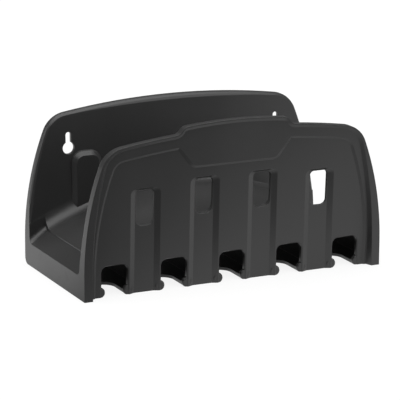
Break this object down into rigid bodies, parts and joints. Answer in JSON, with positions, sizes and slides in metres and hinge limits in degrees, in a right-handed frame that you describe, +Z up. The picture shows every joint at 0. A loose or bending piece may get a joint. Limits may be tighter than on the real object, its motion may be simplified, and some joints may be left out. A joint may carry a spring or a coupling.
{
  "type": "hose hanger",
  "caption": "Moulded wall hanger for a garden hose: an arched saddle between a keyholed back plate and a relief-shaped front plate, with snap-in clips for fittings along its foot.",
  "frame": {"origin": "on the wall plane, midway between the round head holes of the two keyholes", "axes": "+X to the right as seen from the front, +Y into the wall, +Z up; the foot lies 92.5 mm below the origin"},
  "size_m": [0.256, 0.123, 0.1313],
  "materials": {
    "moulded_plastic": "fine semi-matt dark grey moulded plastic"
  },
  "bodies": {
    "root": {"hose_hanger": "moulded_plastic"}
  },
  "joints": []
}
